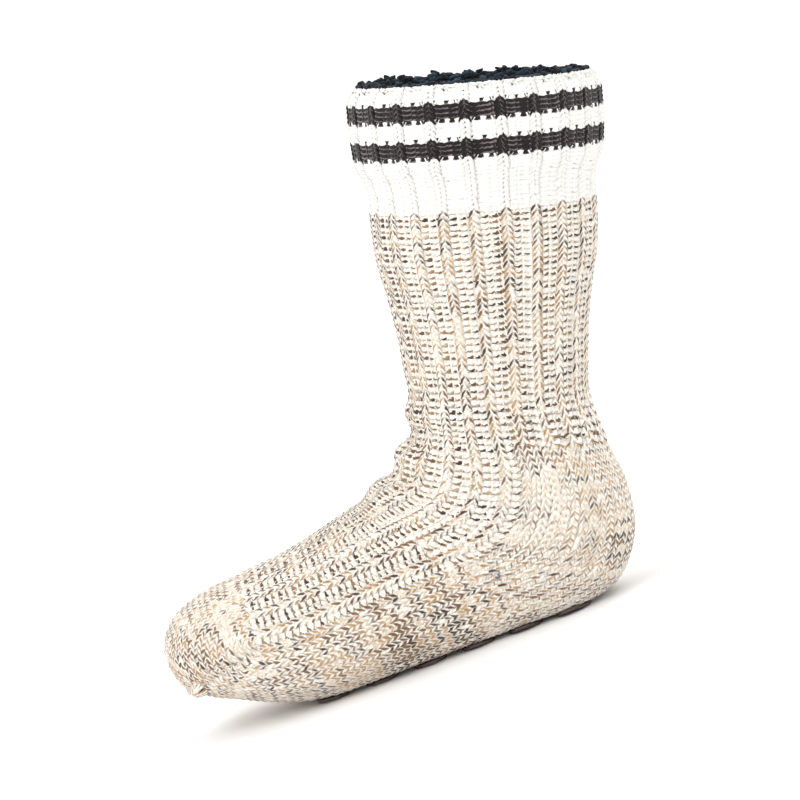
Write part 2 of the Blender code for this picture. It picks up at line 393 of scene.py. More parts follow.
def running_length(points):
    """Length along lines of points, from 0 at their first points."""
    steps = np.linalg.norm(np.diff(points, axis=0), axis=-1)
    return np.concatenate([np.zeros((1, *steps.shape[1:])), np.cumsum(steps, axis=0)])


def along_line(place, run, line):
    """Points at these lengths along a line of points with its running length."""
    return np.stack([np.interp(place, run, line[:, axis]) for axis in range(3)], -1)


def outline_rows():
    """Every section as front x, front z, back x, back z, half width, widest, square."""
    rows = []
    sine, cosine = math.sin(LEG_LEAN), math.cos(LEG_LEAN)
    for up, depth, width in LEG_SECTIONS:
        along, height = up * sine - ANKLE_ALONG, up * cosine + ANKLE_UP
        reach_along, reach_up = depth / 2 * cosine, depth / 2 * sine
        front = (along - reach_along, height + reach_up)
        back = (along + reach_along, height - reach_up)
        rows.append((*front, *back, width / 2, LEG_WIDEST, LEG_SQUARE))
    for front_along, front_up, back_along, back_up, width, widest, square in FOOT_SECTIONS:
        front = (-front_along * FOOT_LENGTH, front_up * INSTEP_HEIGHT)
        back = (-back_along * FOOT_LENGTH, back_up * INSTEP_HEIGHT)
        rows.append((*front, *back, width * BALL_WIDTH / 2, widest, square))
    return np.array(rows)


ROWS = outline_rows()
FRONT_KNOTS = running_length(ROWS[:, 0:2])
KNOTS = (FRONT_KNOTS + running_length(ROWS[:, 2:4])) / 2


def row_slopes():
    """Slope of every column at every section, from the parabola through it and its neighbours."""
    step = np.diff(KNOTS)[:, None]
    secant = np.diff(ROWS, axis=0) / step
    slope = np.empty_like(ROWS)
    slope[0], slope[-1] = secant[0], secant[-1]
    slope[1:-1] = (secant[:-1] * step[1:] + secant[1:] * step[:-1]) / (step[:-1] + step[1:])
    return slope


SLOPES = row_slopes()


def section_at(station):
    """The seven section values at stations down the sock, as one smooth run through the rows."""
    station = np.clip(station, KNOTS[0], KNOTS[-1])
    span = np.clip(np.searchsorted(KNOTS, station, side="right") - 1, 0, len(KNOTS) - 2)
    length = (KNOTS[span + 1] - KNOTS[span])[..., None]
    share = (station - KNOTS[span])[..., None] / length
    start = ROWS[span] * (1 + 2 * share) + SLOPES[span] * length * share
    end = ROWS[span + 1] * (3 - 2 * share) - SLOPES[span + 1] * length * (1 - share)
    return start * (1 - share) ** 2 + end * share**2


def flattened(height):
    """Heights with the round underside pressed softly into the flat of the sole."""
    above = np.clip(height - SOLE_UP + SOLE_SOFTNESS, 0.0, None)
    blend = above**2 / (4 * SOLE_SOFTNESS)
    return SOLE_UP + np.where(above < 2 * SOLE_SOFTNESS, blend, above - SOLE_SOFTNESS)


def skin(station, angle):
    """Points on the outside of the knit. Angle 0 is the front or top, and pi the back or sole."""
    section = section_at(np.asarray(station, dtype=float))
    front, back = section[..., 0:2], section[..., 2:4]
    half_width, widest, square = section[..., 4], section[..., 5], section[..., 6]
    cosine, sine = np.cos(angle), np.sin(angle)
    fullness = (np.abs(cosine) ** square + np.abs(sine) ** square) ** (-1 / square)
    reach = np.where(cosine > 0, 1 - widest, widest) * cosine * fullness
    middle = back + (front - back) * widest[..., None]
    in_side_view = middle + (front - back) * reach[..., None]
    across = half_width * sine * fullness
    along = in_side_view[..., 0] + ALONG_SHIFT
    return np.stack([along, across, flattened(in_side_view[..., 1])], axis=-1)


def skin_normal(station, angle):
    """Outward normals of the knit's outside."""
    station, angle = np.broadcast_arrays(np.asarray(station, dtype=float), angle)
    low = np.clip(station - SLOPE_STEP, KNOTS[0], KNOTS[-1])
    high = np.clip(station + SLOPE_STEP, KNOTS[0], KNOTS[-1])
    down = skin(high, angle) - skin(low, angle)
    turn = skin(station, angle + SLOPE_STEP) - skin(station, angle - SLOPE_STEP)
    return unit(np.cross(turn, down))


# Stations where the heel's turn begins and ends, where the toe begins, and where the front bends
HEEL_START = KNOTS[FIRST_FOOT]
HEEL_END = KNOTS[FIRST_FOOT + HEEL_SECTIONS]
TOE_START = float(np.interp(FOOT_LENGTH - TOE_FROM_TIP, -ROWS[FIRST_FOOT:, 0], KNOTS[FIRST_FOOT:]))
BEND_FRONT = FRONT_KNOTS[FIRST_FOOT + 1]


def crease_height(station, angle):
    """How far the creases lift or sink the skin."""
    along = np.interp(station, KNOTS, FRONT_KNOTS) - BEND_FRONT
    turn = np.abs(np.mod(angle + math.pi, FULL_TURN) - math.pi)
    height = np.zeros(np.broadcast(along, turn).shape)
    for crease in CREASES:
        ridge = np.exp(-((along - crease.along) / crease.half_width) ** 2)
        fade = 1 - smooth_step(turn, CREASE_FULL * crease.reach, crease.reach)
        height += crease.height * ridge * fade
    return height


def knit_skin(station, angle, outward=0.0):
    """The outside of the knit with its creases, moved outward by a distance."""
    station, angle = np.broadcast_arrays(np.asarray(station, dtype=float), angle)
    lift = crease_height(station, angle) + outward
    return skin(station, angle) + skin_normal(station, angle) * lift[..., None]


TABLE_STATIONS = np.linspace(KNOTS[0], KNOTS[-1], TABLE_ROWS)
FINE_WALES = np.arange(int(HALF_TURN * FINE) + 1) / FINE


def wale_angle_table():
    """Angle of every quarter wale at every table station, even by length over front and back."""
    angles = np.linspace(0.0, math.pi, TABLE_ANGLES)
    run = running_length(skin(TABLE_STATIONS[None, :], angles[:, None]))
    foot = smooth_step(TABLE_STATIONS, HEEL_START, HEEL_END)
    table = []
    for share, front in zip((run / run[-1]).T, 0.5 + (FOOT_FRONT_SHARE - 0.5) * foot):
        knots = np.interp(FINE_WALES, (0.0, QUARTER_TURN, HALF_TURN), (0.0, front, 1.0))
        table.append(np.interp(knots, share, angles))
    table = np.array(table)
    return np.concatenate([table, FULL_TURN - table[:, -2:0:-1]], axis=1)


WALE_ANGLES = wale_angle_table()
COLUMNS = WALE_ANGLES.shape[1]


def angles_on(stations):
    """Wale angles for a grid of stations, one column for each quarter wale."""
    pairs = zip(stations.T, WALE_ANGLES.T)
    return np.stack([np.interp(column, TABLE_STATIONS, angles) for column, angles in pairs], 1)


class Lattice:
    """Points and normals over wales and courses, read anywhere between its lines."""

    def __init__(self, points, first_wale, first_course, wraps):
        self.points = points
        self.first_wale = first_wale
        self.first_course = first_course
        self.wraps = wraps
        across = np.gradient(points, axis=1)
        if wraps:
            across = np.roll(points, -1, axis=1) - np.roll(points, 1, axis=1)
        self.normals = unit(np.cross(across, np.gradient(points, axis=0)))

    def at(self, wale, course):
        """Point and normal at these wales and courses."""
        column = (wale - self.first_wale) * FINE
        row = np.clip((course - self.first_course) * FINE, 0, len(self.points) - LAST_CELL)
        count = self.points.shape[1]
        if not self.wraps:
            column = np.clip(column, 0, count - LAST_CELL)
        left, above = np.floor(column).astype(int), np.floor(row).astype(int)
        across, down = (column - left)[:, None], (row - above)[:, None]
        left, right = left % count, (left + 1) % count
        found = []
        for grid in (self.points, self.normals):
            upper = grid[above, left] * (1 - across) + grid[above, right] * across
            lower = grid[above + 1, left] * (1 - across) + grid[above + 1, right] * across
            found.append(upper * (1 - down) + lower * down)
        point, normal = found
        return point, unit(normal)


def fan_tables():
    """Stations and running lengths down every wale line through the heel's turn."""
    stations = np.linspace(HEEL_START, HEEL_END, FAN_ROWS)
    grid = np.repeat(stations[:, None], COLUMNS, axis=1)
    return stations, running_length(skin(grid, angles_on(grid)))


FAN_STATIONS, FAN_RUN = fan_tables()
FAN_LENGTH = FAN_RUN[-1]
HEEL_FIRST = CUFF_END + LEG_COURSES
FROM_FRONT = np.minimum(np.arange(COLUMNS), COLUMNS - np.arange(COLUMNS)) / FINE


def fan_pitch():
    """First pitch and its change per course, for every wale line through the heel's turn."""
    change = (FAN_LENGTH / 2 - FAN_COURSES * FAN_FIRST_PITCH) / FAN_COURSES**2
    even = smooth_step(FROM_FRONT, FOLD_WALES, EVEN_WALES)
    change = np.where(FROM_FRONT > FOLD_WALES, change[FOLD_WALES * FINE], change) * (1 - even)
    back = smooth_step(FROM_FRONT, EVEN_WALES, HALF_TURN - FOLD_WALES)
    return FAN_FIRST_PITCH + (HEEL_PITCH - FAN_FIRST_PITCH) * back, change


FAN_PITCH, FAN_CHANGE = fan_pitch()


def leg_station(course):
    """Station of a course on the leg, whose pitch grows as the leg narrows."""
    growth = math.log(LEG_PITCH_LOW / LEG_PITCH_TOP)
    share = np.expm1(growth * (course - CUFF_END) / LEG_COURSES) / math.expm1(growth)
    start = CUFF_END * CUFF_COURSE
    return np.where(course < CUFF_END, course * CUFF_COURSE, start + (HEEL_START - start) * share)


def fan_run_at(course):
    """Length along every wale line from an end of the heel's turn, for courses counted from that end."""
    course = np.asarray(course, dtype=float)[:, None]
    return course * FAN_PITCH + FAN_CHANGE * course**2


def stations_at_run(run):
    """Stations on every wale line at these lengths from the start of the heel's turn."""
    pairs = zip(run.T, FAN_RUN.T)
    return np.stack([np.interp(column, lengths, FAN_STATIONS) for column, lengths in pairs], 1)


def leg_lattice():
    """Cuff, leg and the half of the heel's turn that is counted from the leg."""
    courses = np.arange(-LIP_COURSES - LIP_SPARE, HEEL_FIRST + HEEL_COURSES + SPARE_COURSES, 1 / FINE)
    stations = np.repeat(np.maximum(leg_station(courses), 0.0)[:, None], COLUMNS, axis=1)
    turning = courses > HEEL_FIRST
    stations[turning] = stations_at_run(fan_run_at(courses[turning] - HEEL_FIRST))
    angles = angles_on(stations)
    points = knit_skin(stations, angles)
    lip = courses < 0
    turn = np.clip(-courses[lip] / LIP_COURSES, 0.0, LIP_TURNS)[:, None, None] * math.pi
    edge, normal = points[~lip][0], skin_normal(stations[0], angles[0])
    points[lip] = edge + LIP_RADIUS * (np.sin(turn) * LEG_AXIS - (1 - np.cos(turn)) * normal)
    return Lattice(points, 0.0, courses[0], True)


def foot_lattice():
    """The half of the heel's turn that is counted from the foot, and the foot up to the toe."""
    courses = np.arange(-HEEL_COURSES - SPARE_COURSES, FOOT_COURSES + SPARE_COURSES, 1 / FINE)
    pitch = (TOE_START - HEEL_END) / FOOT_COURSES
    stations = np.repeat((HEEL_END + courses * pitch)[:, None], COLUMNS, axis=1)
    turning = courses < 0
    stations[turning] = stations_at_run(FAN_LENGTH - fan_run_at(-courses[turning]))
    return Lattice(knit_skin(stations, angles_on(stations)), 0.0, courses[0], True)


def tube_faces(rings, around):
    """Faces of a tube of rings, as lists of corners."""
    place = np.arange(around)
    after = np.roll(place, -1)
    ring = np.stack([place, after, after + around, place + around], 1)
    return (ring + np.arange(rings - 1)[:, None, None] * around).reshape(-1, 4).tolist()


def end_faces(first, tip, around):
    """Faces that close a ring, given its first corner, about the corner at its tip."""
    place = np.arange(around)
    return np.stack([place + first, np.roll(place, -1) + first, np.full(around, tip)], 1).tolist()


def toe_tree():
    """The outside of the front of the foot, for finding where rays meet it."""
    stations = np.linspace(HEEL_END, KNOTS[-1], TOE_RINGS)
    angles = np.linspace(0.0, FULL_TURN, TOE_AROUND, endpoint=False)
    grid = skin(stations[:, None], angles[None, :])
    points = np.concatenate([grid.reshape(-1, 3), [grid[-1].mean(axis=0)]])
    closed = end_faces((TOE_RINGS - 1) * TOE_AROUND, len(points) - 1, TOE_AROUND)
    return BVHTree.FromPolygons(points.tolist(), tube_faces(TOE_RINGS, TOE_AROUND) + closed)


ToeHalf = namedtuple("ToeHalf", "lattice lengths seam seam_outward")


def toe_half(tree, start_turn, first_wale):
    """Wale lines over half the toe, as a fan about the line through the two ends of its seam."""
    side = skin(TOE_START, np.interp(TOE_START, TABLE_STATIONS, WALE_ANGLES[:, int(QUARTER_TURN * FINE)]))
    centre = np.array([side[0], 0.0, side[2]])
    upright = unit(skin(TOE_START, 0.0) - skin(TOE_START, math.pi))
    forward = np.array([-upright[2], 0.0, upright[0]])
    lines = []
    for turn in np.linspace(start_turn, SEAM_TURN, TOE_FANS):
        outward = math.cos(turn) * upright + math.sin(turn) * forward
        hits = []
        for sweep in np.linspace(-math.pi / 2, math.pi / 2, TOE_SWEEPS):
            ray = Vector(outward * math.cos(sweep) + np.array([0.0, math.sin(sweep), 0.0]))
            hits.append(tuple(tree.ray_cast(Vector(centre), ray.normalized())[0]))
        row = np.array(hits)
        run = running_length(row)
        lines.append(along_line(np.linspace(0.0, run[-1], len(FINE_WALES)), run, row))
    lines = np.array(lines)
    if first_wale > 0:
        lines = lines[:, ::-1]
    run = running_length(lines)
    courses = np.arange(-1.0, run.max() / TOE_PITCH + SPARE_COURSES, 1 / FINE)
    place = courses * TOE_PITCH
    columns = []
    for lengths, line in zip(run.T, lines.swapaxes(0, 1)):
        before = np.outer(np.minimum(place, 0.0), unit(line[1] - line[0]))
        columns.append(along_line(place, lengths, line) + before)
    lattice = Lattice(np.stack(columns, 1), first_wale, courses[0], False)
    return ToeHalf(lattice, run[-1], lines[-1], unit(lines[-1] - centre))


def stitch_faces(wales, plain_back, plain_front):
    """1 for a knit stitch and -1 for a purl, by the rib of one knit and two purls, and 1 where ribbed."""
    signed = np.mod(wales + HALF_TURN, WALES) - HALF_TURN
    rib = np.where(np.mod(wales, RIB_UNIT) == 0, 1.0, -1.0)
    plain = np.where(np.abs(signed) > FRONT_WALES, plain_back, plain_front)
    return np.where(plain, 1.0, rib), np.where(plain, 0.0, 1.0)


def patch_share(patch, points):
    """How far points lie in a patch, 1 at its centre."""
    away = (points - np.array(patch.centre)) / np.array(patch.size)
    return np.exp(-(away**2).sum(axis=1))


def odds_at(points, odds):
    """Odds of the strand's tones at points, by the patches they lie in."""
    mixed = np.broadcast_to(odds, (len(points), len(MARL_TONES)))
    for patch in PATCHES:
        share = patch_share(patch, points)[:, None]
        mixed = mixed * (1 - share) + np.array(patch.odds) * share
    return mixed


def bold_at(points):
    """How bold the strokes are at points, by the patches they lie in."""
    bold = np.ones(len(points))
    for patch in PATCHES:
        bold += (patch.bold - bold) * patch_share(patch, points)
    return bold


def strand_tones(points, odds):
    """Tone of the marl strand at every loop of a course, in runs with a few strays."""
    count = len(points)
    limits = np.cumsum(odds_at(points, odds), axis=1)
    draws = np.empty(count)
    start = 0
    while start < count:
        length = rng.integers(*RUN_STITCHES)
        draws[start:start + length] = rng.random()
        start += length
    stray = rng.random(count) < STRAY_SHARE
    draws[stray] = rng.random(stray.sum())
    picked = np.minimum((draws[:, None] > limits).sum(axis=1), len(MARL_TONES) - 1)
    return linear(MARL_TONES)[picked] * rng.uniform(*TONE_STRAY, (count, 1))


def loop_cover(points, faces, plain, strand, strokes):
    """Share of the yarn that the strand covers: strokes on knit legs, and dashes along purl heads that paint
    the dark strand with the shade of the gaps between purl loops.
    """
    count = len(faces)
    knit = faces > 0
    cover = np.where(knit[:, None], 0.0, PURL_COVER)
    bold = bold_at(points) * np.where(plain, 1.0, RIB_STROKE * strand.share)
    for leg in (LEFT_LEG, RIGHT_LEG):
        shown = rng.uniform(strokes.low, strokes.high, count) * bold
        shown = shown * (rng.random(count) < strokes.share)
        for place, swell in zip(leg, LEG_SWELL):
            cover[knit, place] = shown[knit] * swell
    cover[~knit, HEAD] = strokes.dash * rng.uniform(strand.low, strand.high, count)[~knit]
    cover[~knit, SINKER] = (SINKER_COVER * (rng.random(count) < SINKER_SHARE))[~knit]
    return cover


def with_share(colours, share):
    """Colours with a share beside each of them."""
    return np.concatenate([colours, np.reshape(share, (-1, 1))], axis=1)


def marl_plies(points, faces, plain, strand, strokes):
    """Colours along a course of marl: a pale ply, and a strand that shows more or less of itself, darker on
    purl loops as painted shade.
    """
    pale = linear(CREAM) * rng.uniform(*PALE_STRAY, (len(faces) * LOOP_SAMPLES, 1))
    odds = np.where(plain[:, None], PLAIN_ODDS, strand.odds)
    # Purl stitches take the strand darker, as painted shade
    tones = strand_tones(points, odds) * np.where(faces > 0, 1.0, PURL_PAINTED_SHADE)[:, None]
    along = np.repeat(tones, LOOP_SAMPLES, axis=0)
    turn = np.where(plain[:, None], PLAIN_TURN, np.where((faces > 0)[:, None], RIB_TURN, 0.0))
    return with_share(pale, turn), with_share(along, loop_cover(points, faces, plain, strand, strokes))


def cream_plies(faces):
    """Colours along a course of the cream cuff."""
    samples = len(faces) * LOOP_SAMPLES
    cover = np.where((faces > 0)[:, None], 0.0, PURL_COVER)
    front = linear(CUFF_CREAM) * rng.uniform(*PALE_STRAY, (samples, 1))
    back = linear(CUFF_SHADE) * rng.uniform(*SHADE_STRAY, (samples, 1))
    return with_share(front, np.zeros(samples)), with_share(back, cover)


def stripe_plies(faces):
    """Colours along a charcoal course: knit legs paler inside, and purl loops with a paler lower edge."""
    knit = (faces > 0)[:, None]
    samples = len(faces) * LOOP_SAMPLES
    dark, pale = linear(CHARCOAL), linear(CHARCOAL_SHADE)
    base = np.repeat(np.where(knit, pale, dark), LOOP_SAMPLES, axis=0)
    stroke = np.repeat(np.where(knit, dark, pale), LOOP_SAMPLES, axis=0)
    cover = np.where(knit, STRIPE_KNIT_COVER, STRIPE_PURL_COVER)
    worn = rng.uniform(*STRIPE_STRAY, (samples, 1))
    return with_share(base * worn, np.zeros(samples)), with_share(stroke * worn, cover)


def linked_piece(name, mesh, finish):
    """A smooth object of a mesh with its material, on the one body."""
    mesh.shade_smooth()
    mesh.materials.append(finish)
    made = bpy.data.objects.new(name, mesh)
    bpy.context.scene.collection.objects.link(made)
    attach(made, "root")
    return made


class Skein:
    """Gathers tubes of yarn, and makes one joined mesh of them."""

    def __init__(self, sides=YARN_SIDES, cell_samples=LOOP_SAMPLES, flatness=YARN_FLAT):
        self.sides = sides
        self.flatness = flatness
        self.cell_samples = cell_samples
        self.points, self.faces, self.plies = [], [], ([], [])
        self.strand, self.cells = [], []
        self.point_count = self.cell_count = 0

    def keep(self, points, plies):
        """Stores points with their colours, and gives the number of the first."""
        first = self.point_count
        self.points.append(points)
        for store, ply in zip(self.plies, plies):
            store.append(ply)
        self.point_count += len(points)
        return first

    def add(self, centre, normal, radius, closed, plies, pitch):
        """Adds one tube along a line of points, a closed ring or an open run with capped ends."""
        count, sides = len(centre), self.sides
        tangent = np.gradient(centre, axis=0)
        if closed:
            tangent = np.roll(centre, -1, axis=0) - np.roll(centre, 1, axis=0)
        tangent = unit(tangent)
        beside = unit(np.cross(normal, tangent))
        above = np.cross(tangent, beside) * self.flatness
        turn = ((np.arange(sides) + 0.5) / sides * FULL_TURN)[None, :, None]
        spoke = np.cos(turn) * beside[:, None] + np.sin(turn) * above[:, None]
        rings = centre[:, None] + spoke * np.broadcast_to(radius, count)[:, None, None]
        first = self.keep(rings.reshape(-1, 3), [np.repeat(ply, sides, axis=0) for ply in plies])
        step = np.arange(count if closed else count - 1)
        side = np.arange(sides)
        beyond = (side + 1) % sides
        start, end = step[:, None] * sides, ((step + 1) % count)[:, None] * sides
        quads = np.stack([start + side, start + beyond, end + beyond, end + side], -1) + first
        self.faces.append(quads.reshape(-1, 4))
        self.map_tube(step, side, pitch)
        if not closed:
            self.cap(rings[0], side[::-1], [ply[:1] for ply in plies])
            self.cap(rings[-1], side, [ply[-1:] for ply in plies])

    def add_scrap(self, line, normal, radius, colours, cover, pitch):
        """Adds one short open tube whose two plies each have one colour."""
        samples = len(line)
        first, second = (np.repeat(np.reshape(colour, (1, 3)), samples, axis=0) for colour in colours)
        plies = with_share(first, np.zeros(samples)), with_share(second, np.full(samples, cover))
        self.add(line, np.repeat(normal[None], samples, axis=0), radius, False, plies, pitch)

    def map_tube(self, step, side, pitch):
        """Stores the two maps of a tube: one along the yarn, and one with a cell for each stitch."""
        along = np.stack([step, step, step + 1, step + 1], -1)[:, None] * pitch / PLY_PERIOD
        around = np.stack([side, side + 1, side + 1, side], -1)[None] / self.sides
        along, around = np.broadcast_arrays(along, around)
        self.strand.append(np.stack([along, around + 0.5 / self.sides], -1).reshape(-1, 2))
        cell = step // self.cell_samples
        inside = step - cell * self.cell_samples
        lengthwise = np.stack([inside, inside, inside + 1, inside + 1], -1)[:, None] / self.cell_samples
        lengthwise = np.broadcast_to(lengthwise, along.shape)
        number = np.broadcast_to((cell + self.cell_count)[:, None, None], along.shape)
        self.cells.append(np.stack([number, lengthwise, around], -1).reshape(-1, 3))
        self.cell_count += int(cell[-1]) + 1

    def cap(self, ring, order, plies):
        """Closes an end of a tube with faces that meet at its middle."""
        count = len(ring)
        points = np.concatenate([ring, ring.mean(axis=0, keepdims=True)])
        first = self.keep(points, [np.repeat(ply, count + 1, axis=0) for ply in plies])
        middle = np.full(count, count)
        self.faces.append(np.stack([order, np.roll(order, -1), middle, middle], -1) + first)
        self.strand.append(np.zeros((count * 4, 2)))
        self.cells.append(np.zeros((count * 4, 3)))

    def piece(self, name, finish):
        """The joined mesh as an object, with its colours and its two maps."""
        points, faces = np.concatenate(self.points), np.concatenate(self.faces)
        triangle = faces[:, 2] == faces[:, 3]
        mesh = bpy.data.meshes.new(name)
        mesh.from_pydata(points, [], faces[~triangle].tolist() + faces[triangle][:, :3].tolist())
        corners = np.repeat(~triangle, 4)
        capped = np.repeat(triangle, 4) & np.tile([True, True, True, False], len(triangle))
        cells = np.concatenate(self.cells)
        grid = math.ceil(math.sqrt(self.cell_count))
        spread = np.stack([cells[:, 0] % grid, cells[:, 0] // grid], -1)
        spread = (spread + CELL_MARGIN + (1 - 2 * CELL_MARGIN) * cells[:, 1:]) / grid
        for map_name, values in (("OFBake", spread), ("Strand", np.concatenate(self.strand))):
            layer = mesh.uv_layers.new(name=map_name)
            ordered = np.concatenate([values[corners], values[capped]])
            layer.data.foreach_set("uv", ordered.astype(np.float32).ravel())
        for attribute, store in zip(("ply_a", "ply_b"), self.plies):
            layer = mesh.attributes.new(attribute, "FLOAT_COLOR", "POINT")
            layer.data.foreach_set("color", np.concatenate(store).astype(np.float32).ravel())
        return linked_piece(name, mesh, finish)


def knit_course(skein, lattice, course, wales, faces, ribbed, yarn, plies):
    """Adds one course of loops to a skein, a ring when it has every wale."""
    count = len(wales)
    closed = count == WALES
    knit = faces > 0
    loops = np.where(knit[:, None, None], KNIT_LOOP, PURL_LOOP)
    before = np.roll(loops[:, SINKER, 2], 1)
    if not closed:
        before[0] = loops[0, SINKER, 2]
    loops[:, SINKER, 2] = (loops[:, SINKER, 2] + before) / 2
    spread = np.where(knit, np.where(ribbed > 0, RIB_SPREAD, PLAIN_SPREAD), 1.0)[:, None]
    slip = rng.normal(0.0, LOOP_SLIP, (3, count, 1)) * np.array(FREE_SHARE)
    wale = wales[:, None] + (loops[..., 0] - 0.5) * spread + slip[0]
    place = course + loops[..., 1] + slip[1]
    rise = RIB_RISE * np.cos(FULL_TURN * wale / RIB_UNIT) * ribbed[:, None]
    depth = (YARN_MIDDLE + LOOP_DEPTH * loops[..., 2] + rise).ravel()
    if not closed:
        depth[:2] -= END_SINK
        depth[-2:] -= END_SINK
    point, normal = lattice.at(wale.ravel(), place.ravel())
    middle = wales.astype(float)
    above = lattice.at(middle, np.full(count, course - 0.5))[0]
    below = lattice.at(middle, np.full(count, course + 0.5))[0]
    pitch = np.linalg.norm(below - above, axis=1)
    half_width = np.where(knit, np.minimum(yarn.width, KNIT_FILL * pitch), yarn.fill * pitch)
    thickness = (CORNER * half_width[:, None] * (1 + slip[2])).ravel()
    skein.add(point + normal * depth[:, None], normal, thickness, closed, plies, LOOP_LENGTH / LOOP_SAMPLES)


def marl_course(skein, lattice, course, wales, plain_back, plain_front, strand, strokes):
    """A course of marl loops."""
    if len(wales) < 2:
        return
    faces, ribbed = stitch_faces(wales, plain_back, plain_front)
    points = lattice.at(wales.astype(float), np.full(len(wales), float(course)))[0]
    plies = marl_plies(points, faces, ribbed == 0, strand, strokes)
    knit_course(skein, lattice, course, wales, faces, ribbed, MARL_YARN, plies)


def course_strand(course):
    """Every second course carries the darker strand."""
    return DARK_STRAND if course % 2 else PALE_STRAND


def knit_cuff(finish, lattice):
    """Cream cuff, rolled in over the collar, with its two charcoal stripes."""
    skein = Skein()
    wales = np.arange(WALES)
    faces, ribbed = stitch_faces(wales, False, False)
    for course in range(-LIP_COURSES, math.ceil(CUFF_END)):
        if course in STRIPE_COURSES:
            knit_course(skein, lattice, course, wales, faces, ribbed, STRIPE_YARN, stripe_plies(faces))
        else:
            knit_course(skein, lattice, course, wales, faces, ribbed, CREAM_YARN, cream_plies(faces))
    return skein.piece("knit_cuff", finish)


def knit_leg(finish, lattice):
    """Ribbed marl leg, from the cuff to the heel's turn."""
    skein = Skein()
    first = math.ceil(CUFF_END)
    for course in range(first, math.floor(HEEL_FIRST) + 1):
        strand = FIRST_STRAND if course == first else course_strand(course)
        marl_course(skein, lattice, course, np.arange(WALES), False, False, strand, LEG_STROKES)
    return skein.piece("knit_leg", finish)


def heel_wales(count):
    """Wales on which a course of the heel's turn still fits before the middle, by its count from an end."""
    if count < FAN_COURSES:
        return np.arange(WALES)
    wales = np.arange(FOLD_WALES + 1, WALES - FOLD_WALES)
    run = fan_run_at([count])[0][wales * FINE]
    return wales[run < FAN_LENGTH[wales * FINE] / 2 + GORE_OVERLAP * HEEL_PITCH]


def heel_half(skein, lattice, first, sense, strokes):
    """Courses of the heel's turn counted from one end: whole rings, then shorter and shorter ones."""
    for number in range(1, HEEL_COURSES + 1):
        count = number - 0.5
        place, wales = first + sense * count, heel_wales(count)
        marl_course(skein, lattice, place, wales, True, False, course_strand(number), strokes)


def knit_ankle(finish, lattice):
    """Instep rib and the upper half of the heel."""
    skein = Skein()
    heel_half(skein, lattice, HEEL_FIRST, 1, HEEL_STROKES)
    return skein.piece("knit_ankle", finish)


def knit_foot(finish, lattice):
    """Ribbed top and plain sole of the foot, and the lower half of the heel."""
    skein = Skein()
    heel_half(skein, lattice, 0.0, -1, FOOT_STROKES)
    for course in range(FOOT_COURSES):
        strand = course_strand(course)
        marl_course(skein, lattice, course + 0.5, np.arange(WALES), True, False, strand, FOOT_STROKES)
    return skein.piece("knit_foot", finish)


def knit_toe(finish, halves):
    """Plain-knit toe cup over the top and tip, and the end of the sole that meets it."""
    skein = Skein()
    for half, first in zip(halves, (-FRONT_WALES, FRONT_WALES + 1)):
        lattice, wales = half.lattice, np.arange(first, first + int(HALF_TURN))
        room = half.lengths[((wales - lattice.first_wale) * FINE).astype(int)]
        for course in range(int(room.max() / TOE_PITCH) + 1):
            here = wales[(course + TOE_ROOM) * TOE_PITCH < room]
            strand = course_strand(course)
            marl_course(skein, lattice, course + 0.5, here, True, True, strand, FOOT_STROKES)
    return skein.piece("knit_toe", finish)


def seam_stitch(skein, half, place, turn, reach, rise, slant):
    """One arch of yarn over the toe seam, turned about its normal."""
    run = running_length(half.seam)
    share = np.linspace(-1.0, 1.0, SEAM_SAMPLES)
    base = along_line(place, run, half.seam)
    out = along_line(place, run, half.seam_outward)
    ahead = along_line(place + SEAM_AHEAD, run, half.seam) - base
    ahead = unit(ahead - out * (ahead @ out))
    across = np.cross(out, ahead) * math.cos(turn) + ahead * math.sin(turn)
    beside = np.cross(out, across)
    arch = np.outer(rise * (1 - share**2) - SEAM_SINK, out)
    centre = base + np.outer(share, reach * across + slant * beside) + arch
    tone = strand_tones(base[None], DARK_ODDS)
    cover = rng.uniform(*SEAM_COVER)
    skein.add_scrap(centre, beside, SEAM_RADIUS, (linear(CREAM), tone), cover, SEAM_PITCH)


def toe_seam(finish, half):
    """Overcast stitches along the toe seam, and the puckered corner at each of its ends."""
    skein = Skein(YARN_SIDES, SEAM_SAMPLES - 1, flatness=1.0)
    run = running_length(half.seam)
    ends = [run[np.argmin(np.abs(half.seam[:, 1] - side * NUB_ACROSS))] for side in (-1, 1)]
    for place in np.arange(min(ends), max(ends), SEAM_PITCH):
        seam_stitch(skein, half, place, rng.normal(0.0, SEAM_SWAY), SEAM_REACH, SEAM_RISE, SEAM_SLANT)
    for end in ends:
        for number in range(NUB_STRANDS):
            place = end + rng.normal(0.0, NUB_SWAY)
            turn, slant = math.pi * number / NUB_STRANDS, rng.normal(0.0, NUB_SWAY)
            seam_stitch(skein, half, place, turn, NUB_REACH, NUB_RISE, slant)
    return skein.piece("toe_seam", finish)


def lint_fleck(finish):
    """A scrap of blue fluff caught on the side of the foot."""
    skein = Skein(YARN_SIDES, CURL_SAMPLES - 1, flatness=1.0)
    turn = np.linspace(0.0, LINT_CURL, CURL_SAMPLES)
    normal = skin_normal(LINT_STATION, LINT_ANGLE)
    across = np.cross(normal, [0.0, 0.0, 1.0])
    swing = np.outer(np.cos(turn), across) + np.outer(np.sin(turn), np.cross(normal, across))
    lift = np.outer(np.linspace(*LINT_LIFT, CURL_SAMPLES), normal)
    line = skin(LINT_STATION, LINT_ANGLE) + LINT_SIZE * swing + lift
    skein.add_scrap(line, normal, LINT_RADIUS, linear((LINT_BLUE, LINT_BLUE)), 0.0, CURL_PITCH)
    return skein.piece("lint_fleck", finish)


